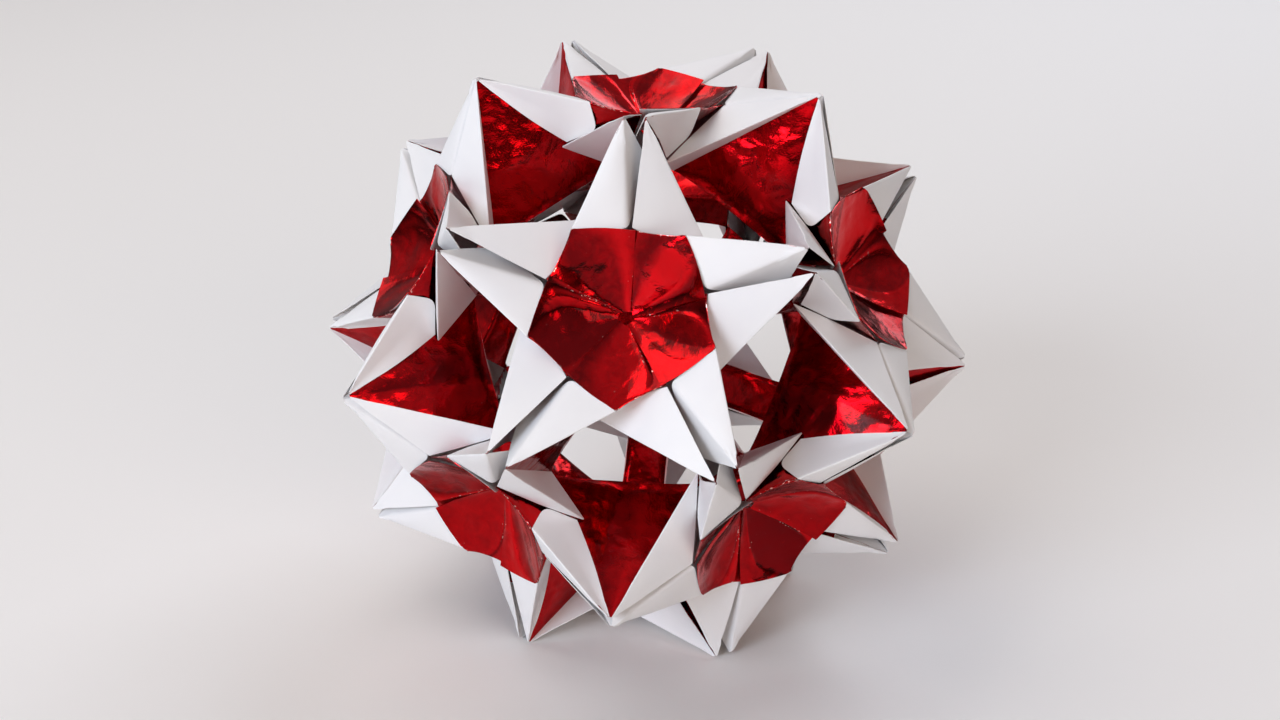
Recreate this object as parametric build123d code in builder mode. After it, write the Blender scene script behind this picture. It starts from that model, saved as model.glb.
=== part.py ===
from build123d import *
import os
from itertools import combinations
from math import atan, cos, degrees, pi, sin, sqrt

# A modular paper ball: thirty alike folded sheets, hooked into each other in fives
# round twelve star-shaped dishes and in threes round twenty hollows.
# Each sheet folds up into one horn, with two tips and a slit between them.
# All sizes in mm. Heights are measured from the centre of the ball, along the
# axis of the horn or of the star that they belong to, and depths and drops down
# from the tips.

# Paper
PAPER = 0.15
LAYER_GAP = 0.12

# Horn
TIP_RADIUS = 52.5
TIP_GAP = 3.15
TIP_BLUNT = 0.3
SLIT_WIDTH = 0.7
SLIT_DEPTH = 10.5
SLIT_LEAN = 0.3
HORN_FLOOR = 29.3
HORN_WIDTH = 7.7

# Dish in the middle of a star
RIM_RADIUS = 14.1
RIM_DROP = 10.2
DISH_DEPTH = 7.2
DISH_HOLE = 0.5

# Flap that hangs from the star's edge into the hollow
FLAP_DROP = 15.3
FLAP_REACH = 6.56
FLAP_AIR = 0.06
FLAP_DEPTH = 4.9
FLAP_SPREAD = 1.45

# Wedge on the far side of the star's point, tucked under the next flap
WEDGE_DROP = 15.6
WEDGE_REACH = 5.5
WEDGE_TUCK = 0.3

# Angles of the icosahedron between a horn and its star, and a horn and its hollow
STAR_POINTS = 5
STAR_TILT = atan((sqrt(5) - 1) / 2)
HOLLOW_TILT = atan((3 - sqrt(5)) / 2)
NEXT_HORN = 360 / STAR_POINTS

# Distance between the middles of two layers that lie on each other
LAYER = PAPER + LAYER_GAP
# How far a facet reaches past its outline before it is cut back at its folds
FOLD_ALLOWANCE = 4 * PAPER
# Cosine of the turn below which a fold counts as nearly flat
NEARLY_FLAT = 0.9

# Horn frame: Z runs out along the horn, X from star A, at -X, to star B, at +X.
# The sheet is alike after half a turn about Z.
star_axis = Axis((0, 0, 0), (-sin(STAR_TILT), 0, cos(STAR_TILT)))


def from_star(out, side, up):
    """A point given from star A: out along the horn's way, to its side, up the star's axis."""
    return Vector(
        out * cos(STAR_TILT) - up * sin(STAR_TILT),
        side,
        out * sin(STAR_TILT) + up * cos(STAR_TILT),
    )


def to_previous(point):
    """The same point on the horn before this one, counted anticlockwise round star A."""
    return point.rotate(star_axis, -NEXT_HORN)


def opposite(point):
    """The same point on the half of the sheet that belongs to star B."""
    return point.rotate(Axis.Z, 180)


def unit_normal(first, second, third):
    return (second - first).cross(third - first).normalized()


# Tips, and the corner of the dish between this horn and the next
tip = Vector(0, TIP_GAP / 2, sqrt(TIP_RADIUS**2 - TIP_GAP**2 / 4))
far_tip = opposite(tip)
rim_height = TIP_RADIUS - RIM_DROP
corner = from_star(RIM_RADIUS * cos(pi / STAR_POINTS), RIM_RADIUS * sin(pi / STAR_POINTS), rim_height)

# The rim goes on from tip to corner in the same line, and stops short of the next horn's slit
tip_side = to_previous(tip).Y
corner_side = to_previous(corner).Y
rim_share = (-SLIT_WIDTH / 2 - tip_side) / (corner_side - tip_side)
rim_end = tip + (corner - tip) * rim_share
slit_edge = to_previous(rim_end)
lip = Vector(slit_edge.X, -slit_edge.Y, slit_edge.Z)

# Bottom of the horn, where three horns meet round a hollow
base_reach = (HORN_FLOOR * sin(HOLLOW_TILT) - HORN_WIDTH / 2 * cos(HOLLOW_TILT)) * sqrt(3)
base = Vector(-base_reach, HORN_WIDTH / 2, HORN_FLOOR)
far_base = Vector(base_reach, HORN_WIDTH / 2, HORN_FLOOR)
wall_normal = unit_normal(tip, far_base, base)
shoulder_normal = unit_normal(tip, base, rim_end)


def off_wall(reach, height, off):
    """A point off the wall's middle plane, given by its reach toward star A and its height."""
    side = tip.Y - (wall_normal.Z * (height - tip.Z) - wall_normal.X * reach) / wall_normal.Y
    return Vector(-reach, side, height) + wall_normal * off


# Points of this sheet that lie on the wall and the shoulder of the previous horn
wedge_corner = to_previous(off_wall(WEDGE_REACH, tip.Z - WEDGE_DROP, LAYER))
wedge_edge = to_previous(rim_end + shoulder_normal * LAYER)
wedge_foot = to_previous(off_wall(base_reach - WEDGE_TUCK, HORN_FLOOR, LAYER))
foot_share = (far_tip.Z - HORN_FLOOR) / (far_tip.Z - wedge_foot.Z)
wedge_base = far_tip + (wedge_foot - far_tip) * foot_share

# Flap: hung from the line from tip to corner, outside the next sheet's wedge
flap_end = off_wall(FLAP_REACH, tip.Z - FLAP_DROP, 2 * LAYER + FLAP_AIR)
flap_top = (corner - tip).normalized()
flap_down = unit_normal(tip, corner, flap_end).cross(flap_top)
flap_corner = corner + flap_down * FLAP_DEPTH + flap_top * FLAP_SPREAD

# Fold inside the slit, just inside the far wall
slit_bottom = opposite(off_wall(SLIT_LEAN, TIP_RADIUS - SLIT_DEPTH, -LAYER))
slit_bottom = Vector(-slit_bottom.X, slit_bottom.Y, slit_bottom.Z)

# Kite in the dish: its raw edge lies on the star's face, and it is creased along its middle
kite_lip = lip + unit_normal(tip, corner, lip) * LAYER
lip_out = sqrt(lip.length**2 - lip.dot(star_axis.direction) ** 2)
dish_floor = rim_height - DISH_DEPTH
kite_height = dish_floor + (lip.dot(star_axis.direction) - dish_floor) * DISH_HOLE / lip_out
kite_point = from_star(DISH_HOLE * cos(pi / STAR_POINTS), DISH_HOLE * sin(pi / STAR_POINTS), kite_height)

# The flat facets of the sheet. Two facets that share an edge are joined there by a fold.
half_sheet = {
    "star_face": (tip, lip, corner),
    "flap": (tip, corner, flap_corner, flap_end),
    "shoulder": (tip, rim_end, base),
    "kite_raw_side": (kite_point, kite_lip, corner),
    "kite_rim_side": (kite_point, corner, rim_end),
    "slit_side": (tip, slit_bottom, lip),
    "wedge": (far_tip, wedge_corner, wedge_edge),
    "wedge_foot": (far_tip, wedge_base, wedge_corner),
    "wall": (tip, base, opposite(wedge_base)),
}
facets = list(half_sheet.values())
facets += [tuple(opposite(point) for point in facet) for facet in half_sheet.values()]
facets.append((base, opposite(wedge_base), opposite(base), wedge_base))


def plane_of(facet):
    return Plane(facet[0], x_dir=facet[1] - facet[0], z_dir=unit_normal(*facet[:3]))


def outward(facet, start, end):
    """Direction in the facet's plane that leaves it square to one of its edges."""
    along = (end - start).normalized()
    to_middle = sum(facet, Vector()) * (1 / len(facet)) - start
    return (along * to_middle.dot(along) - to_middle).normalized()


def upright(facet):
    """Direction square to a facet, shared with one that it joins in a nearly flat fold."""
    own = unit_normal(*facet[:3])
    shared = own
    for other in facets:
        common = [point for point in other if point in facet]
        others = unit_normal(*other[:3])
        if other is not facet and len(common) == 2 and abs(own.dot(others)) > NEARLY_FLAT:
            shared += others * (1 if own.dot(others) > 0 else -1)
    return shared


def end_plane(facet, start, end):
    """Plane that ends a facet at an edge: halfway round an open fold, else upright."""
    leaving = outward(facet, start, end)
    for other in facets:
        if other is not facet and start in other and end in other:
            other_leaving = outward(other, start, end)
            if leaving.dot(other_leaving) < 0:
                return Plane(start, x_dir=end - start, z_dir=leaving - other_leaving)
    return Plane(start, x_dir=end - start, z_dir=(end - start).cross(upright(facet)))


folded_facets = []
for facet in facets:
    with BuildPart() as folded_facet:
        with BuildSketch(plane_of(facet)):
            Polygon(*[plane_of(facet).to_local_coords(point) for point in facet], align=None)
            offset(amount=FOLD_ALLOWANCE, kind=Kind.INTERSECTION)
        extrude(amount=PAPER / 2, both=True)
        for start, end in zip(facet, facet[1:] + facet[:1]):
            split(bisect_by=end_plane(facet, start, end), keep=Keep.BOTTOM)
    folded_facets.append(folded_facet.part)

# One folded sheet, with its two tips a little blunt
with BuildPart() as sheet:
    for piece in folded_facets:
        add(piece)
    split(bisect_by=Plane((0, 0, tip.Z - TIP_BLUNT)), keep=Keep.BOTTOM)

# Star axes: one straight up, five round it, and their opposites
upper_stars = [Vector(0, 0, 1)]
for turn in range(STAR_POINTS):
    leaning = Vector(0, 0, 1).rotate(Axis.Y, degrees(2 * STAR_TILT))
    upper_stars.append(leaning.rotate(Axis.Z, turn * NEXT_HORN))
stars = upper_stars + [star * -1 for star in upper_stars]
horns = [(a, b) for a, b in combinations(stars, 2) if a.dot(b) > 0]

# The ball stands on the ten tips of its lowest star
lowest = 0
for a, b in horns:
    turned = sheet.part.moved(Plane((0, 0, 0), x_dir=b - a, z_dir=a + b).location)
    lowest = min(lowest, turned.bounding_box().min.Z)

os.makedirs("parts", exist_ok=True)
for number, (a, b) in enumerate(horns, 1):
    with BuildPart() as placed_sheet:
        with Locations(Plane((0, 0, -lowest), x_dir=b - a, z_dir=a + b).location):
            add(sheet.part)
    placed_sheet.part.label = f"sheet_{number:02d}"
    export_step(placed_sheet.part, f"parts/sheet_{number:02d}.step")
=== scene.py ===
from collections import namedtuple
from itertools import combinations

import bpy
import mathutils
import numpy as np
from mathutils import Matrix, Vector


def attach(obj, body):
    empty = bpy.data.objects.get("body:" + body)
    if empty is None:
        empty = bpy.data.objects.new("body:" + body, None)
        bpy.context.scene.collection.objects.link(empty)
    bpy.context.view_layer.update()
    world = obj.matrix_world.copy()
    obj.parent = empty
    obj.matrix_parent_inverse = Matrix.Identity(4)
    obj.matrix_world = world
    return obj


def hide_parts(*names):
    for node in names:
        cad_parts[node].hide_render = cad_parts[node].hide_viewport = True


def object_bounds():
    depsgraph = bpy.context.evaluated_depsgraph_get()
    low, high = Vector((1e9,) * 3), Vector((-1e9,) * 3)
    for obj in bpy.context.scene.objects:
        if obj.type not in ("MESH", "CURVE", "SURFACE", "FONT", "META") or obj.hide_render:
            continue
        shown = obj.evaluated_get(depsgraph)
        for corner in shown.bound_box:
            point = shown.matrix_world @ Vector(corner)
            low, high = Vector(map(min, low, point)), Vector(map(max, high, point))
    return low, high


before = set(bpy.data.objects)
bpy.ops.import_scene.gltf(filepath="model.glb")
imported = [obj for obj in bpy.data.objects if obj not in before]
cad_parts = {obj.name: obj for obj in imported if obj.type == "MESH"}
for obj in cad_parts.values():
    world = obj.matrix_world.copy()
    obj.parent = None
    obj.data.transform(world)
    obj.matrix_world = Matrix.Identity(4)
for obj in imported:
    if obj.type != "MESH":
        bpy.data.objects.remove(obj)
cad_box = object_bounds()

# Thirty folded sheets, alike but for their small unevenness. Each is an oblong of two-sided paper,
# white on one face and metallised red on the other, creased by hand into a horn with two tips.
# They are hooked into each other with no glue, in fives round stars and in threes round hollows.

# Sizes in mm from the centre of the ball, with Z out along the horn. X runs from star A, at -X,
# to star B, at +X, and a sheet is alike after half a turn about Z.
PAPER = 0.11
LAYER = 0.27
TIP_RADIUS = 52.5
TIP_GAP = 3.15
SLIT_WIDTH = 0.7
SLIT_FLOOR = 42.0
SLIT_LEAN = 0.3
HORN_FLOOR = 29.3
HORN_WIDTH = 7.7
RIM_RADIUS = 14.1
RIM_HEIGHT = 42.3
DISH_DEPTH = 7.2
DISH_HOLE = 0.55
FLAP_DROP = 15.3
FLAP_REACH = 6.56
FLAP_OFF = 0.6
FLAP_DEPTH = 4.9
FLAP_SPREAD = 1.45
WEDGE_DROP = 15.6
WEDGE_REACH = 5.5
WEDGE_TUCK = 0.3

# Angles of the icosahedron between a horn and its star, a horn and its hollow, and two horns
STAR_TILT = np.arctan((np.sqrt(5) - 1) / 2)
HOLLOW_TILT = np.arctan((3 - np.sqrt(5)) / 2)
FIFTH = 2 * np.pi / 5
star_up = np.array([-np.sin(STAR_TILT), 0, np.cos(STAR_TILT)])
star_out = np.array([np.cos(STAR_TILT), 0, np.sin(STAR_TILT)])
sideways = np.array([0.0, 1.0, 0.0])


def unit(vectors):
    """Each vector divided by its own length."""
    return vectors / np.linalg.norm(vectors, axis=-1, keepdims=True)


def turned(points, axis, angle):
    """Points turned about an axis through the centre: the part of each point along the axis
    stays, and the rest goes to its cosine plus the cross product with the axis by its sine."""
    along = (points @ axis)[..., None] * axis
    across_axis = points - along
    return along + across_axis * np.cos(angle) + np.cross(axis, across_axis) * np.sin(angle)


def from_star(out, side, up):
    """A point given from star A: out along the horn's way, to its side, up the star's axis."""
    return out * star_out + side * sideways + up * star_up


def to_previous(point):
    """The same point on the horn before this one, counted anticlockwise round star A."""
    return turned(point, star_up, -FIFTH)


def opposite(points):
    """The same points on the other half of the sheet: half a turn about the horn's own axis."""
    return points * np.array([-1.0, -1.0, 1.0])


def normal_of(first, second, third):
    """Unit normal of the plane through three points."""
    return unit(np.cross(second - first, third - first))


def across(start, end, toward):
    """Unit direction in a panel, square to its edge from start to end, toward one of its points."""
    along = unit(end - start)
    step = toward - start
    return unit(step - along * (step @ along))


# Tips, and the rim of the dish from the corner to the next horn's slit
tip = np.array([0, TIP_GAP / 2, np.sqrt(TIP_RADIUS**2 - TIP_GAP**2 / 4)])
far_tip = opposite(tip)
corner = from_star(RIM_RADIUS * np.cos(FIFTH / 2), RIM_RADIUS * np.sin(FIFTH / 2), RIM_HEIGHT)
tip_side = to_previous(tip)[1]
rim_share = (-SLIT_WIDTH / 2 - tip_side) / (to_previous(corner)[1] - tip_side)
rim_end = tip + (corner - tip) * rim_share
lip = to_previous(rim_end) * np.array([1, -1, 1])

# Bottom of the horn, where three horns meet round a hollow
base_reach = (HORN_FLOOR * np.sin(HOLLOW_TILT) - HORN_WIDTH / 2 * np.cos(HOLLOW_TILT)) * np.sqrt(3)
base = np.array([-base_reach, HORN_WIDTH / 2, HORN_FLOOR])
wall_normal = normal_of(tip, base * np.array([-1, 1, 1]), base)
shoulder_normal = normal_of(tip, base, rim_end)


def off_wall(reach, height, off):
    """A point off the wall's middle plane, given by its reach toward star A and its height."""
    side = tip[1] - (wall_normal[2] * (height - tip[2]) - wall_normal[0] * reach) / wall_normal[1]
    return np.array([-reach, side, height]) + wall_normal * off


# Corners of the wedge, which lies on the previous horn's wall and shoulder
wedge_corner = to_previous(off_wall(WEDGE_REACH, tip[2] - WEDGE_DROP, LAYER))
wedge_edge = to_previous(rim_end + shoulder_normal * LAYER)
wedge_foot = to_previous(off_wall(base_reach - WEDGE_TUCK, HORN_FLOOR, LAYER))
foot_share = (far_tip[2] - HORN_FLOOR) / (far_tip[2] - wedge_foot[2])
wedge_base = far_tip + (wedge_foot - far_tip) * foot_share
far_base = opposite(wedge_base)

# Corners of the flap, which hangs from the line from tip to corner, and the fold in the slit
flap_end = off_wall(FLAP_REACH, tip[2] - FLAP_DROP, FLAP_OFF)
flap_top = unit(corner - tip)
flap_down = np.cross(normal_of(tip, corner, flap_end), flap_top)
flap_corner = corner + flap_down * FLAP_DEPTH + flap_top * FLAP_SPREAD
slit_bottom = opposite(off_wall(SLIT_LEAN, SLIT_FLOOR, -LAYER)) * np.array([-1, 1, 1])

# Corners of the kite, which runs from the star's edge down to the middle of the dish
kite_lip = lip + normal_of(tip, corner, lip) * LAYER
lip_up = lip @ star_up
lip_out = np.linalg.norm(lip - lip_up * star_up)
dish_floor = RIM_HEIGHT - DISH_DEPTH
kite_height = dish_floor + (lip_up - dish_floor) * DISH_HOLE / lip_out
kite_point = from_star(
    DISH_HOLE * np.cos(FIFTH / 2), DISH_HOLE * np.sin(FIFTH / 2), kite_height
)

# Ways into the panels, square to the folds that they share
shoulder_in = across(tip, rim_end, base)
kite_in = across(corner, rim_end, kite_point)
wall_in = across(base, far_base, tip)
floor_in = across(base, far_base, opposite(base))

# The folded surfaces. Paper bends in one direction only, so each run of panels that meet in a
# tip is a cone from that tip over a broken line, whose corners are the folds, pressed round by
# hand. Panels are numbered along the line, from 0, and a point's panel number runs on evenly
# from one corner to the next. A surface's way is where its face points at the panel number that
# its probe gives. Its last field holds its pleat heights, one for each column, which paint the
# foil darker and lighter red along the pleats: painted reflection.
ALONG = 20
TIP_BLUNT = 0.42
Surface = namedtuple("Surface", "grid way panel probe foil_out streaks")


def held(values):
    """Values held between 0 and 1."""
    return np.clip(values, 0, 1)


def bent_line(corners, reaches, straight=8, round_steps=6, crowd=1.0):
    """A broken line with rounded corners. Each inner corner is a parabola that leaves one stretch
    and joins the next at the given reach from the corner. Points crowd toward the line's start by
    the given power. Also gives each point's panel number."""
    corners = np.array(corners)
    points = []
    panels = []
    start = corners[0]
    start_panel = 0.0
    for i, reach in enumerate(reaches, 1):
        length_in = np.linalg.norm(corners[i] - corners[i - 1])
        length_out = np.linalg.norm(corners[i + 1] - corners[i])
        enter = corners[i] + (corners[i - 1] - corners[i]) * reach / length_in
        leave = corners[i] + (corners[i + 1] - corners[i]) * reach / length_out
        enter_panel = i - reach / length_in
        leave_panel = i + reach / length_out
        t = np.linspace(0, 1, straight)[:-1, None] ** (crowd if i == 1 else 1.0)
        points.append(start + (enter - start) * t)
        panels.append(start_panel + (enter_panel - start_panel) * t[:, 0])
        s = np.linspace(0, 1, round_steps)[:-1, None]
        points.append(enter * (1 - s) ** 2 + corners[i] * 2 * s * (1 - s) + leave * s**2)
        panels.append(enter_panel + (leave_panel - enter_panel) * s[:, 0])
        start = leave
        start_panel = leave_panel
    last = len(corners) - 1
    t = np.linspace(0, 1, straight)[:, None]
    points.append(start + (corners[last] - start) * t)
    panels.append(start_panel + (last - start_panel) * t[:, 0])
    return np.concatenate(points), np.concatenate(panels)


def cone(apex, line, inner_line=None, blunt=None, crowd=1.0):
    """Straight lines from an apex to each point of a line, as a grid of rows along them, which
    crowd toward the line by the given power. They start at the given share of their length, or
    else on a plane square to the horn, just under its tips. Where an inner line is given, the
    rows follow it, and go over to the outer line by the sixth power."""
    if blunt is None:
        blunt = TIP_BLUNT / (apex[2] - line[:, 2])
    left = np.linspace(1, 0, ALONG)[:, None] ** crowd * np.ones(len(line))
    u = (1 - (1 - blunt) * left)[:, :, None]
    ends = line[None] if inner_line is None else inner_line + (line - inner_line) * u**6
    return apex + u * (ends - apex), u[:, :, 0]


def grid_normals(grid):
    """Unit normals of a grid: the cross product of its two slopes."""
    return unit(np.cross(np.gradient(grid, axis=0), np.gradient(grid, axis=1)))


def outward_normals(grid, row, column, way):
    """Unit normals of a grid, on the side that faces the given way at one of its points."""
    normals = grid_normals(grid)
    return -normals if normals[row, column] @ way < 0 else normals


def calmed(normals):
    """Normals averaged six times with their neighbours to both sides, so that a lift along them
    carries a tight fold as one."""
    for _ in range(6):
        sides = np.concatenate([normals[:, :1], normals, normals[:, -1:]], axis=1)
        normals = unit(sides[:, :-2] + 2 * normals + sides[:, 2:])
    return normals


def fold_shift(points, start, end, into, beyond, radius):
    """Rounds the fold from start to end of a flat panel. A point at a distance d from the fold
    moves by half of (root of d squared plus r squared, less d) along both panels' directions
    together, with the radius r fading to nothing at the fold's two ends."""
    along = unit(end - start)
    length = np.linalg.norm(end - start)
    share = held((points - start) @ along / length)
    fade = held(4 * share * (1 - share)) ** 0.5 * radius
    distance = np.maximum((points - start) @ into, 0)
    reach = (np.sqrt(distance**2 + fade**2) - distance) / 2
    return reach[..., None] * (into + beyond)


def waves(points, rng, length, count=7):
    """Smooth seeded unevenness: a mean of sine waves that run in random directions, each with
    its own length, from 0.7 to 1.5 times the one given."""
    ways = unit(rng.normal(size=(count, 3)))
    lengths = length * rng.uniform(0.7, 1.5, (count, 1))
    phases = rng.uniform(0, 2 * np.pi, count)
    return np.sin(points @ (ways * 2 * np.pi / lengths).T + phases).mean(axis=-1)


def pleats(panels, rng, count):
    """Straight creases that run out from a fan's apex: a broken line through seeded heights from
    -1 to 1, which ends at 0 on both sides."""
    last = panels[-1]
    places = np.sort(rng.uniform(0.06, 0.94, count)) * last
    return np.interp(panels, [0, *places, last], [0, *rng.uniform(-1, 1, count), 0])


def ridge(panels, number):
    """Rises from 0 at a panel's edges to 1 along its middle, as half a sine wave."""
    return np.sin(np.pi * held(panels - number))


# Flap, star face and the side of the slit, which hang together round one tip. In each pair, here
# and below, are the least and the most that the panel's middle or free edge bows out.
FLAP_FOLDS = [1.6, 0.35, 0.9]
FLAP_BOW = (0.35, 0.75)
STAR_FACE_BOW = (0.15, 0.35)
SLIT_SIDE_BOW = (-0.05, 0.1)
WHITE_WAVE_LENGTH = 9
WHITE_WAVE_LIFT = 0.05


def flap_fan(rng):
    """A cone from the tip over the lower ends of flap, star face and slit side. The flap bows as
    half a sine along it, and as the square toward its free edge; the star face as a parabola."""
    line, panel = bent_line([flap_end, flap_corner, corner, lip, slit_bottom], FLAP_FOLDS)
    star_face, slit_side = 2, 3
    probe = star_face + 0.5
    grid, u = cone(tip, line)
    normals = outward_normals(grid, -1, np.argmin(abs(panel - probe)), star_up)
    lift = rng.uniform(*FLAP_BOW) * np.sin(np.pi * u) * held(1 - panel) ** 2
    lift = lift + rng.uniform(*STAR_FACE_BOW) * 4 * u * (1 - u) * ridge(panel, star_face)
    lift = lift + rng.uniform(*SLIT_SIDE_BOW) * u * ridge(panel, slit_side)
    lift = lift + WHITE_WAVE_LIFT * waves(grid, rng, WHITE_WAVE_LENGTH) * held(3 * u)
    grid = grid + calmed(normals) * lift[..., None]
    return Surface(grid, star_up, panel, probe, False, 0 * panel)


# Shoulder and wall, the red inside of a hollow. The shoulder's far edge is tucked under the rim.
SHOULDER_FOLD = 0.8
TUCK = 0.45
TUCK_START = 0.04
FLOOR_FOLD = 0.9
RIM_FOLD = 0.5
WALL_BOW = (-0.05, 0.2)
WALL_WAVE_LENGTH = 10
WALL_WAVE_LIFT = 0.28
WALL_PLEATS = 5
WALL_PLEAT_LIFT = 0.16


def wall_fan(rng):
    """A cone from the tip over the shoulder's and the wall's lower ends, lifted by waves, by half
    a sine over the wall, and by pleats that fade to nothing at the tip and at the floor's fold."""
    line, panel = bent_line([rim_end, base, far_base], [SHOULDER_FOLD], straight=18, crowd=1.7)
    wall = 1
    grid, u = cone(tip, line)
    past_corner = held((1 / rim_share - u) / TUCK_START)
    tucked = TUCK * past_corner * held(1 - 6 * panel) * held(2 * u)
    grid = grid + tucked[..., None] * shoulder_in
    grid = grid + fold_shift(grid, base, far_base, wall_in, floor_in, FLOOR_FOLD)
    grid = grid + fold_shift(grid, corner, rim_end, shoulder_in, kite_in, RIM_FOLD)
    normals = outward_normals(grid, ALONG // 2, -4, wall_normal)
    lift = WALL_WAVE_LIFT * waves(grid, rng, WALL_WAVE_LENGTH) * held(2 * u) ** 2 * held(4 * panel)
    lift = lift + rng.uniform(*WALL_BOW) * np.sin(np.pi * u) * ridge(panel, wall)
    # The pleat heights also go to the foil's colour, darker and lighter red along the pleats:
    # painted reflection.
    pleat_heights_and_painted_sheen = pleats(panel, rng, WALL_PLEATS)
    lift = lift + WALL_PLEAT_LIFT * u**1.5 * (1 - u**6) * pleat_heights_and_painted_sheen
    grid = grid + calmed(normals) * lift[..., None]
    return Surface(grid, wall_normal, panel, wall + 0.6, True, pleat_heights_and_painted_sheen)


# Wedge and its foot, round the other tip. They lie on the previous horn, under its flap.
WEDGE_FOLD = 0.35
WEDGE_BOW = (0.05, 0.25)
FOOT_LIFT = 0.18


def wedge_fan(rng):
    """A cone from the far tip over the lower ends of wedge and foot, lifted by half a sine over
    the wedge, by waves, and by a straight rise over the foot."""
    line, panel = bent_line([wedge_edge, wedge_corner, wedge_base], [WEDGE_FOLD], straight=12)
    grid, u = cone(far_tip, line)
    normals = outward_normals(grid, -1, 3, star_up)
    wedge, foot = 0, 1
    lift = rng.uniform(*WEDGE_BOW) * u * ridge(panel, wedge)
    lift = lift + WHITE_WAVE_LIFT * waves(grid, rng, WHITE_WAVE_LENGTH) * held(3 * u)
    lift = lift + FOOT_LIFT * held(panel - foot) * u
    grid = grid + calmed(normals) * lift[..., None]
    return Surface(grid, star_up, panel, wedge + 0.4, False, 0 * panel)


# Kite in the dish, turned over the rim. Its raw side, panel 0, lies on the next kite, and its
# other side, panel 1, runs to the slit.
OVERLAP = (0.95, 1.3)
POINT_OVERLAP = 0.8
KITE_FOLD = 0.7
KITE_SOFT_FOLD = 5.5
KITE_START = (0.03, 0.06)
KITE_HOLLOW = 0.45
KITE_BOW = (-0.15, 0.15)
KITE_WAVE_LENGTH = 7
KITE_WAVE_LIFT = 0.3
RAW_EDGE_LIFT = 0.3
RIM_LIFT = 0.16
KITE_PLEATS = 6
KITE_PLEAT_LIFT = (0.3, 0.55)
RIM_ARCH = (0.1, 0.35)


def kite_fan(rng):
    """A cone from the dish's middle that is broadly curved near it and folded at the rim's corner.
    It hollows by half a sine. Its raw side stands off the next kite as the square toward the raw
    edge, less by an exponential toward the dish's middle. Its pleats and waves fade to nothing
    at the rim and at both its edges."""
    over = kite_lip - sideways * rng.uniform(*OVERLAP)
    corners = [over, corner, rim_end]
    line, panel = bent_line(corners, [KITE_FOLD], straight=9, round_steps=14)
    bowed_line, _ = bent_line(corners, [KITE_SOFT_FOLD], straight=9, round_steps=14)
    raw_side = held(1 - panel)
    apexes = kite_point - POINT_OVERLAP * raw_side[:, None] * sideways
    grid, u = cone(apexes, line, bowed_line, rng.uniform(*KITE_START), crowd=1.7)
    grid = grid + fold_shift(grid, corner, rim_end, kite_in, shoulder_in, RIM_FOLD)
    normals = outward_normals(grid, -1, 3, star_up)
    inside = held(4 * panel) * held(4 * (panel[-1] - panel))
    lift = KITE_WAVE_LIFT * waves(grid, rng, KITE_WAVE_LENGTH) + rng.uniform(*KITE_BOW)
    lift = lift * inside * np.sin(np.pi * u) - KITE_HOLLOW * np.sin(np.pi * u)
    lift = lift + RAW_EDGE_LIFT * raw_side**2 * (1 - 0.6 * np.exp(-8 * u))
    lift = lift + RIM_LIFT * u**6 * np.clip(1.3 - panel, 0, 0.3) / 0.3
    # The pleat heights also go to the foil's colour, darker and lighter red along the pleats:
    # painted reflection.
    pleat_heights_and_painted_sheen = pleats(panel, rng, KITE_PLEATS)
    lift = lift + rng.uniform(*KITE_PLEAT_LIFT) * u**1.6 * (1 - u**5) * pleat_heights_and_painted_sheen
    arch = rng.uniform(*RIM_ARCH) * u**3 * ridge(panel, 0)
    grid = grid + arch[..., None] * across(lip, corner, tip)
    grid = grid + calmed(normals) * lift[..., None]
    return Surface(grid, star_up, panel, 0.5, True, pleat_heights_and_painted_sheen)


def floor_strip():
    """The strip that closes the bottom of the horn: straight lines between its two long folds,
    which are both rounded."""
    u = np.linspace(0, 1, 14)[:, None, None]
    v = np.linspace(0, 1, 22)
    along = v[None, :, None]
    near_fold = base * (1 - along) + far_base * along
    far_fold = wedge_base * (1 - along) + opposite(base) * along
    grid = near_fold * (1 - u) + far_fold * u
    near_shift = fold_shift(grid, base, far_base, floor_in, wall_in, FLOOR_FOLD)
    far_shift = fold_shift(
        grid, opposite(base), wedge_base, opposite(floor_in), opposite(wall_in), FLOOR_FOLD
    )
    return Surface(grid + near_shift + far_shift, np.array([0, 0, -1.0]), v, 0.5, True, 0 * v)


def sheet_surfaces(rng):
    """All the surfaces of one sheet. Each half is drawn anew, so the two aren't quite alike."""
    near = [flap_fan(rng), wall_fan(rng), wedge_fan(rng), kite_fan(rng)]
    far = [flap_fan(rng), wall_fan(rng), wedge_fan(rng), kite_fan(rng)]
    far = [part._replace(grid=opposite(part.grid), way=opposite(part.way)) for part in far]
    return near + far + [floor_strip()]


# Faces of the sheet. The thickness is made from the surfaces' own normals, so that the two sides
# and the cut edges can each have their own material.
WHITE, FOIL, EDGE = 0, 1, 2
PRESSED = 5
PINCHED = 9
LEAST_PAPER = 0.3
BEND_SHARE = 0.6
GENTLE_BEND = 0.25


def creased(grid):
    """How sharply a grid bends at each point, from 0 to 1: the turn of its normal per millimetre
    along either way of the grid, less what a gentle bend turns."""
    normals = grid_normals(grid)
    turns = [np.linalg.norm(np.gradient(normals, axis=way), axis=-1) for way in (0, 1)]
    steps = [np.linalg.norm(np.gradient(grid, axis=way), axis=-1) for way in (0, 1)]
    bends = [turn / (step + 0.02) for turn, step in zip(turns, steps)]
    return held(np.maximum(*bends) - GENTLE_BEND)


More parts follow.
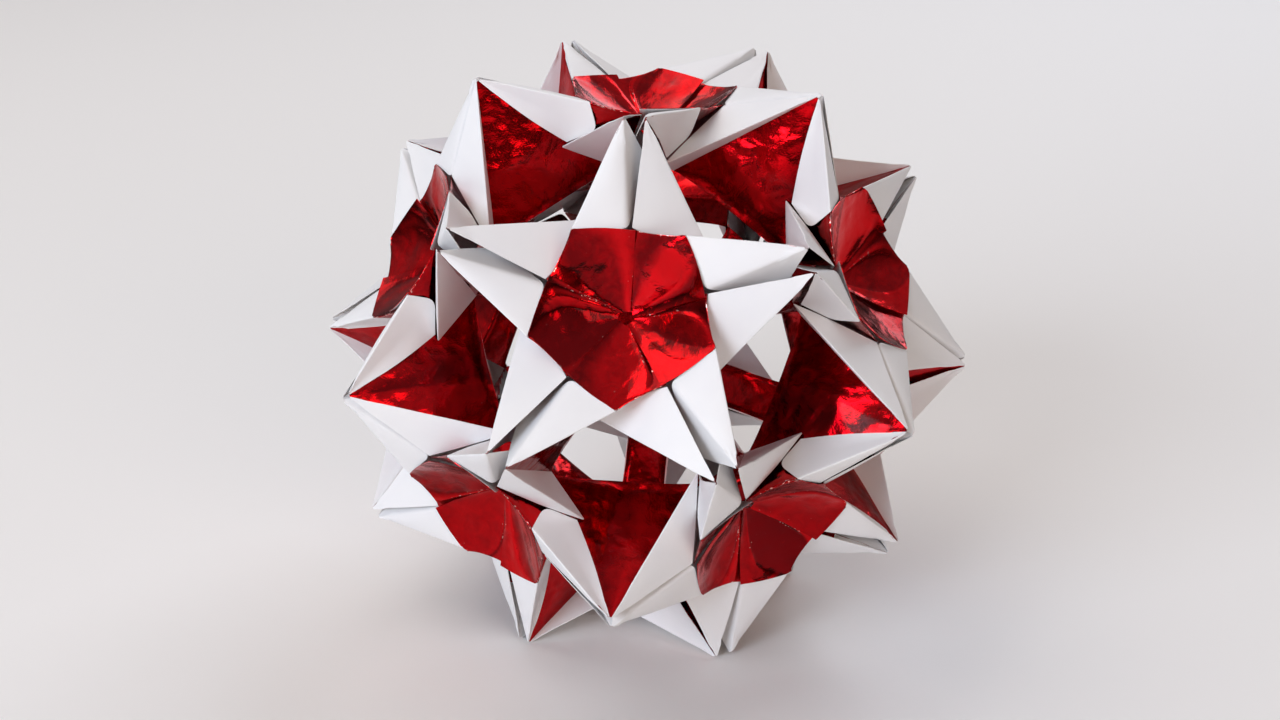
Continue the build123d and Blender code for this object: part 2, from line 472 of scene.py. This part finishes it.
def thick_sheet(surfaces):
    """Both faces and the cut edges of a list of surfaces: each face lies half the paper's
    thickness off the grid along its normals, but no more than a share of the radius of a tight
    fold, and the edges run round between the two. Near a fan's apex, where the folds are squeezed
    hard, the sheet gets thinner in proportion to the distance, and its hidden inner face is
    white. Gives points, faces, their materials, the sharp edges, each point's crease, and each
    point's pleat height, which paints the foil darker and lighter red: painted reflection."""
    parts = []
    count = 0
    for grid, way, panel, probe, foil_out, pleat_heights_and_painted_sheen in surfaces:
        rows, columns = grid.shape[:2]
        normals = grid_normals(grid)
        if normals[rows // 2, np.argmin(abs(panel - probe))] @ way < 0:
            grid, normals, pleat_heights_and_painted_sheen = grid[:, ::-1], -normals[:, ::-1], pleat_heights_and_painted_sheen[::-1]
        turn = np.linalg.norm(np.gradient(normals, axis=1), axis=-1)
        bend_radius = np.linalg.norm(np.gradient(grid, axis=1), axis=-1) / (turn + 1e-6)
        out = np.linalg.norm(grid - grid[0].mean(axis=0), axis=-1)
        paper = PAPER * np.clip(out / PRESSED, LEAST_PAPER, 1)
        half_paper = normals * np.minimum(paper / 2, BEND_SHARE * bend_radius)[..., None]
        points = [(grid + half_paper).reshape(-1, 3), (grid - half_paper).reshape(-1, 3)]
        size = rows * columns
        number = np.arange(size).reshape(rows, columns) + count
        quads = [number[:-1, :-1], number[1:, :-1], number[1:, 1:], number[:-1, 1:]]
        top = np.stack(quads, -1).reshape(-1, 4)
        bottom = np.stack(quads[::-1], -1).reshape(-1, 4) + size
        rim = np.concatenate([number[0], number[1:, -1], number[-1, -2::-1], number[-2:0:-1, 0]])
        after = np.roll(rim, -1)
        band = np.stack([rim, after, after + size, rim + size], -1)
        rim_pairs = np.stack([rim, after], -1)
        pinched = out[:-1, :-1].ravel() < PINCHED
        # Cut edges of surfaces with the red side out take the red foil instead of the bare pulp.
        # This is painted shade, so that the seams between kites and walls show as thin dark red
        # lines.
        kinds = [
            np.full(len(top), FOIL if foil_out else WHITE),
            np.where(pinched | foil_out, WHITE, FOIL),
            np.full(len(band), FOIL if foil_out else EDGE),
        ]
        creases = [creased(grid).ravel()] * 2
        painted_sheen_per_point = [np.tile(pleat_heights_and_painted_sheen, rows)] * 2
        made = (points, [top, bottom, band], kinds, [rim_pairs, rim_pairs + size], creases, painted_sheen_per_point)
        parts.append([np.concatenate(arrays) for arrays in made])
        count += 2 * size
    return [np.concatenate(arrays) for arrays in zip(*parts)]


# Way in which each horn's two halves lean together. It starts this far under the dish's rim.
LEAN_START = 8


def leant(points, horn_frames):
    """Points with the two halves of each horn leant together, each slit by its own share. Near a
    horn the shift runs square to its slit, toward it, and grows smoothly, as three squares less
    two cubes, from under the dish's rim up to the tips."""
    foot = RIM_HEIGHT - LEAN_START
    for turn, lean in horn_frames:
        local = points @ turn
        rise = held((local[:, 2] - foot) / (tip[2] - foot))
        near = rise**2 * (3 - 2 * rise) * (abs(local[:, 0]) < FLAP_REACH * 2)
        side = local[:, 1] / (abs(local[:, 1]) + SLIT_WIDTH)
        points = points - (lean * near * side)[:, None] * turn[:, 1]
    return points


# Colours. The script gives them as sRGB and turns them to linear light.
def linear(colour):
    """sRGB hex to linear RGBA: below 0.04045 a straight line, above it a power of 2.4."""
    parts = np.array([int(colour[i:i + 2], 16) for i in (1, 3, 5)]) / 255
    parts = np.where(parts <= 0.04045, parts / 12.92, ((parts + 0.055) / 1.055) ** 2.4)
    return (*parts.tolist(), 1.0)


def add_node(owner, kind, settings=None, **links):
    """Adds one node to a material or a world. Settings are its own properties. Links go into its
    sockets, each by its name or, as in i0, by its number: another node's output, or a value."""
    node = owner.node_tree.nodes.new(kind)
    for name, value in (settings or {}).items():
        setattr(node, name, value)
    for name, value in links.items():
        numbered = name[0] == "i" and name[1:].isdigit()
        socket = node.inputs[int(name[1:]) if numbered else name.replace("_", " ")]
        if isinstance(value, bpy.types.NodeSocket):
            owner.node_tree.links.new(value, socket)
        else:
            socket.default_value = value
    return node


def new_material(name):
    """An empty node material."""
    material = bpy.data.materials.new(name)
    material.use_nodes = True
    material.node_tree.nodes.clear()
    return material


# White side: smooth uncoated wood-free paper, about 90 g per square metre. It scatters light
# nearly evenly, with faint clouds in the pulp and a slight tooth. Scales are per metre: clouds
# every 14 mm and a tooth of 0.3 mm, both drawn coarser than real, since finer wouldn't show.
def white_paper():
    material = new_material("uncoated_white_paper")
    place = add_node(material, "ShaderNodeTexCoord").outputs["Object"]
    cloud = add_node(
        material, "ShaderNodeTexNoise", Vector=place, Scale=70.0, Detail=3.0, Roughness=0.6
    )
    tint = add_node(
        material, "ShaderNodeMixRGB", Fac=cloud.outputs["Fac"], Color1=linear("#E6E6E9"),
        Color2=linear("#F2F1EF"),
    )
    tooth = add_node(material, "ShaderNodeTexNoise", Vector=place, Scale=3500.0, Detail=2.0)
    bump = add_node(
        material, "ShaderNodeBump", Height=tooth.outputs["Fac"], Strength=0.12, Distance=0.00003
    )
    shader = add_node(
        material, "ShaderNodeBsdfPrincipled", Base_Color=tint.outputs["Color"],
        Normal=bump.outputs["Normal"], Roughness=0.62, IOR=1.47, Specular_IOR_Level=0.35,
    )
    add_node(material, "ShaderNodeOutputMaterial", Surface=shader.outputs[0])
    return material


# Red side: vacuum-metallised film laminated to the paper and lacquered red. It mirrors the room
# softly, and shows the paper's small dents, so highlights break up: dents every 7 mm, creases
# every 2 mm and a grain of 0.25 mm, drawn coarser than real. Where it is folded, the lacquer
# cracks, and the bare bright layer sparkles through in specks of about 0.4 mm.
def red_foil():
    material = new_material("metallised_red_foil")
    place = add_node(material, "ShaderNodeTexCoord").outputs["Object"]
    dents = add_node(
        material, "ShaderNodeTexNoise", Vector=place, Scale=150.0, Detail=2.0, Roughness=0.45,
        Distortion=0.3,
    )
    creases = add_node(
        material, "ShaderNodeTexNoise", Vector=place, Scale=480.0, Detail=3.0, Roughness=0.6,
        Distortion=0.7,
    )
    grain = add_node(material, "ShaderNodeTexNoise", Vector=place, Scale=4000.0, Detail=2.0)
    low = add_node(
        material, "ShaderNodeBump", Height=dents.outputs["Fac"], Strength=1.0, Distance=0.0008
    )
    mid = add_node(
        material, "ShaderNodeBump", Height=creases.outputs["Fac"], Strength=1.0, Distance=0.00007,
        Normal=low.outputs["Normal"],
    )
    fine = add_node(
        material, "ShaderNodeBump", Height=grain.outputs["Fac"], Strength=0.7, Distance=0.00002,
        Normal=mid.outputs["Normal"],
    )
    # Painted reflection: the lacquer's red is painted from dark to light along the pleats of walls
    # and kites, by their pleat heights. The crease noise adds tone that differs at random.
    painted_sheen_attribute = add_node(material, "ShaderNodeAttribute", {"attribute_name": "streak"})
    painted_sheen_and_noise = add_node(
        material, "ShaderNodeMath", {"operation": "MULTIPLY_ADD", "use_clamp": True},
        i0=painted_sheen_attribute.outputs["Fac"], i1=0.7, i2=creases.outputs["Fac"],
    )
    tint = add_node(
        material, "ShaderNodeMixRGB", Fac=painted_sheen_and_noise.outputs[0], Color1=linear("#760107"),
        Color2=linear("#D00912"),
    )
    folded = add_node(material, "ShaderNodeAttribute", {"attribute_name": "crease"})
    specks = add_node(material, "ShaderNodeTexNoise", Vector=place, Scale=2600.0, Detail=1.0)
    cracked = add_node(
        material, "ShaderNodeMath", {"operation": "MULTIPLY_ADD"}, i0=folded.outputs["Fac"],
        i1=0.24, i2=specks.outputs["Fac"],
    )
    bare = add_node(
        material, "ShaderNodeMapRange", Value=cracked.outputs[0], From_Min=0.8, From_Max=0.9
    )
    colour = add_node(
        material, "ShaderNodeMixRGB", Fac=bare.outputs[0], Color1=tint.outputs["Color"],
        Color2=linear("#E9B9B0"),
    )
    shader = add_node(
        material, "ShaderNodeBsdfPrincipled", Base_Color=colour.outputs["Color"], Metallic=1.0,
        Roughness=0.14, Normal=fine.outputs["Normal"], Coat_Weight=0.12, Coat_Roughness=0.06,
    )
    add_node(material, "ShaderNodeOutputMaterial", Surface=shader.outputs[0])
    return material


# Cut edge of the sheet: the bare pulp between the two faces, seen as a thin bright line, with
# fibres drawn 0.7 mm apart
def cut_edge():
    material = new_material("bare_paper_edge")
    place = add_node(material, "ShaderNodeTexCoord").outputs["Object"]
    fibre = add_node(material, "ShaderNodeTexNoise", Vector=place, Scale=1500.0, Detail=2.0)
    tint = add_node(
        material, "ShaderNodeMixRGB", Fac=fibre.outputs["Fac"], Color1=linear("#E2DFDC"),
        Color2=linear("#F6F4F1"),
    )
    shader = add_node(
        material, "ShaderNodeBsdfPrincipled", Base_Color=tint.outputs["Color"], Roughness=0.8
    )
    add_node(material, "ShaderNodeOutputMaterial", Surface=shader.outputs[0])
    return material


def star_axes():
    """One star straight up, five round it, and the opposites of these six."""
    straight_up = np.array([0, 0, 1.0])
    beside = turned(straight_up, np.array([0, 1.0, 0]), 2 * STAR_TILT)
    upper = [straight_up] + [turned(beside, straight_up, k * FIFTH) for k in range(5)]
    return upper + [-star for star in upper]


# A horn points halfway between two neighbouring stars. The slits of the front star's horns stand
# wide open, as in the photograph, and the others nearly shut.
OPEN_LEAN = (-0.5, 0.1)
SHUT_LEAN = (0.2, 1.1)
LEAN_SEED = 41
leaning = np.random.default_rng(LEAN_SEED)
front_star = star_axes()[1]
horn_frames = []
for a, b in combinations(star_axes(), 2):
    if a @ b > 0:
        z = unit(a + b)
        x = unit(b - a)
        open_wide = max(a @ front_star, b @ front_star) > 0.99
        lean = leaning.uniform(*(OPEN_LEAN if open_wide else SHUT_LEAN))
        horn_frames.append((np.stack([x, np.cross(z, x), z], axis=1), lean))

# The sheets are placed round the middle of the CAD box, from mm to metres
MM = 0.001
SHEET_SEED = 300
centre = np.array([0, 0, (cad_box[0].z + cad_box[1].z) / 2])
finishes = [white_paper(), red_foil(), cut_edge()]
for number, (turn, _) in enumerate(horn_frames, 1):
    surfaces = sheet_surfaces(np.random.default_rng(SHEET_SEED + number))
    points, faces, kinds, sharp, creases, painted_sheen_per_point = thick_sheet(surfaces)
    points = leant(points @ turn.T, horn_frames) * MM + centre
    mesh = bpy.data.meshes.new(f"folded_sheet_{number:02d}")
    mesh.from_pydata(points, [], faces)
    for material in finishes:
        mesh.materials.append(material)
    mesh.polygons.foreach_set("material_index", kinds.astype(np.int32))
    mesh.shade_smooth()
    pairs = np.empty(len(mesh.edges) * 2, np.int32)
    mesh.edges.foreach_get("vertices", pairs)
    key = np.array([len(points), 1])
    is_sharp = np.isin(np.sort(pairs.reshape(-1, 2), axis=1) @ key, np.sort(sharp, axis=1) @ key)
    mesh.attributes.new("sharp_edge", "BOOLEAN", "EDGE").data.foreach_set("value", is_sharp)
    # The crease marks set where the lacquer cracks. The pleat heights paint the foil's streaks of
    # reflection.
    for name, values in (("crease", creases), ("streak", painted_sheen_per_point)):
        mark = mesh.attributes.new(name, "FLOAT", "POINT")
        mark.data.foreach_set("value", values.astype(np.float32))
    mesh.update()
    piece = bpy.data.objects.new(f"folded_sheet_{number:02d}", mesh)
    bpy.context.scene.collection.objects.link(piece)
    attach(piece, "root")
    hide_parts(f"sheet_{number:02d}")


# Floor: one flat pale sweep of painted board, 6 m each way, so that its edges stay out of the
# picture. It is not attached to the ball.
FLOOR_HALF = 3.0
floor_material = new_material("pale_matt_floor")
floor_shader = add_node(
    floor_material, "ShaderNodeBsdfPrincipled", Base_Color=linear("#F1F0EE"), Roughness=0.7
)
add_node(floor_material, "ShaderNodeOutputMaterial", Surface=floor_shader.outputs[0])
floor_mesh = bpy.data.meshes.new("floor")
around = [(-1, -1), (1, -1), (1, 1), (-1, 1)]
floor_corners = [(x * FLOOR_HALF, y * FLOOR_HALF, 0) for x, y in around]
floor_mesh.from_pydata(floor_corners, [], [(0, 1, 2, 3)])
floor_mesh.materials.append(floor_material)
floor = bpy.data.objects.new("floor", floor_mesh)
bpy.context.scene.collection.objects.link(floor)


# Soft studio light from four softboxes: a cool one in front to the left, a weaker warm one in
# front to the right, one overhead, and one behind like a window. Powers are in watts.
BALL_MIDDLE = (0, 0, 0.045)


def softbox(name, place, target, size, power, colour):
    """A rectangular area lamp at a place, turned to face a target, upright."""
    lamp = bpy.data.lights.new(name, "AREA")
    lamp.shape = "RECTANGLE"
    lamp.size, lamp.size_y = size
    lamp.energy = power
    lamp.color = linear(colour)[:3]
    holder = bpy.data.objects.new(name, lamp)
    holder.location = place
    away = unit(np.array(place) - np.array(target))
    rightward = unit(np.cross([0, 0, 1.0], away))
    matrix = np.stack([rightward, np.cross(away, rightward), away], axis=1)
    holder.rotation_euler = mathutils.Matrix(matrix.tolist()).to_euler()
    bpy.context.scene.collection.objects.link(holder)


softbox("key_front_left", (0.9, -0.6, 0.5), BALL_MIDDLE, (0.6, 0.5), 9.2, "#E8F1FF")
softbox("warm_front_right", (0.9, 0.45, 0.45), BALL_MIDDLE, (0.9, 0.4), 3.2, "#FFE8D9")
softbox("overhead_left", (-0.2, -0.5, 1.0), BALL_MIDDLE, (1.2, 0.7), 5.0, "#FFF3EA")
softbox("window_behind", (-0.8, 0.35, 0.8), (-0.2, 0.1, 0), (0.8, 0.6), 5.5, "#F2F5FF")

# Room round the ball: a weak even fill. Shiny surfaces alone see it dim at the horizon and pale
# toward the ceiling.
FILL = 0.14
world = bpy.data.worlds.new("studio")
bpy.context.scene.world = world
world.use_nodes = True
room = world.node_tree.nodes["Background"]
room.inputs["Color"].default_value = linear("#B2B2B4")
view_way = add_node(world, "ShaderNodeTexCoord").outputs["Generated"]
height = add_node(world, "ShaderNodeSeparateXYZ", Vector=view_way).outputs["Z"]
walls = add_node(
    world, "ShaderNodeMapRange", Value=height, From_Min=0.08, From_Max=0.65, To_Min=0.12,
    To_Max=1.15,
)
glossy = add_node(world, "ShaderNodeLightPath").outputs["Is Glossy Ray"]
strength = add_node(
    world, "ShaderNodeMapRange", Value=glossy, To_Min=FILL, To_Max=walls.outputs[0]
)
world.node_tree.links.new(strength.outputs[0], room.inputs["Strength"])
bpy.context.scene.view_settings.view_transform = "Standard"

# Camera at the photograph's place, in front of one star and looking down on the ball. The angles,
# the distance and the shift in mm, and the focal length in pixels come from the fit to it.
AZIMUTH = np.radians(4.795)
ELEVATION = np.radians(21.481)
ROLL = np.radians(1.685)
DISTANCE = 5.897 * TIP_RADIUS
SHIFT = np.array([0.01233, 0.05626]) * TIP_RADIUS
FOCAL_PIXELS = 1889.8
PHOTO_WIDTH = 1280
flat = np.cos(ELEVATION)
toward = np.array([flat * np.cos(AZIMUTH), flat * np.sin(AZIMUTH), np.sin(ELEVATION)])
level = np.array([-np.sin(AZIMUTH), np.cos(AZIMUTH), 0])
upright = np.cross(toward, level)
right = np.cos(ROLL) * level + np.sin(ROLL) * upright
up = -np.sin(ROLL) * level + np.cos(ROLL) * upright
place = (toward * DISTANCE - right * SHIFT[0] - up * SHIFT[1]) * MM + centre
lens = bpy.data.cameras.new("camera")
lens.sensor_width = 36.0
lens.lens = FOCAL_PIXELS / PHOTO_WIDTH * lens.sensor_width
lens.clip_start = 0.01
camera = bpy.data.objects.new("camera", lens)
rows = np.stack([right, up, toward, place], axis=1)
camera.matrix_world = mathutils.Matrix([*rows.tolist(), [0, 0, 0, 1]])
bpy.context.scene.collection.objects.link(camera)
bpy.context.scene.camera = camera

# Bring the scene's placements up to date
bpy.context.view_layer.update()
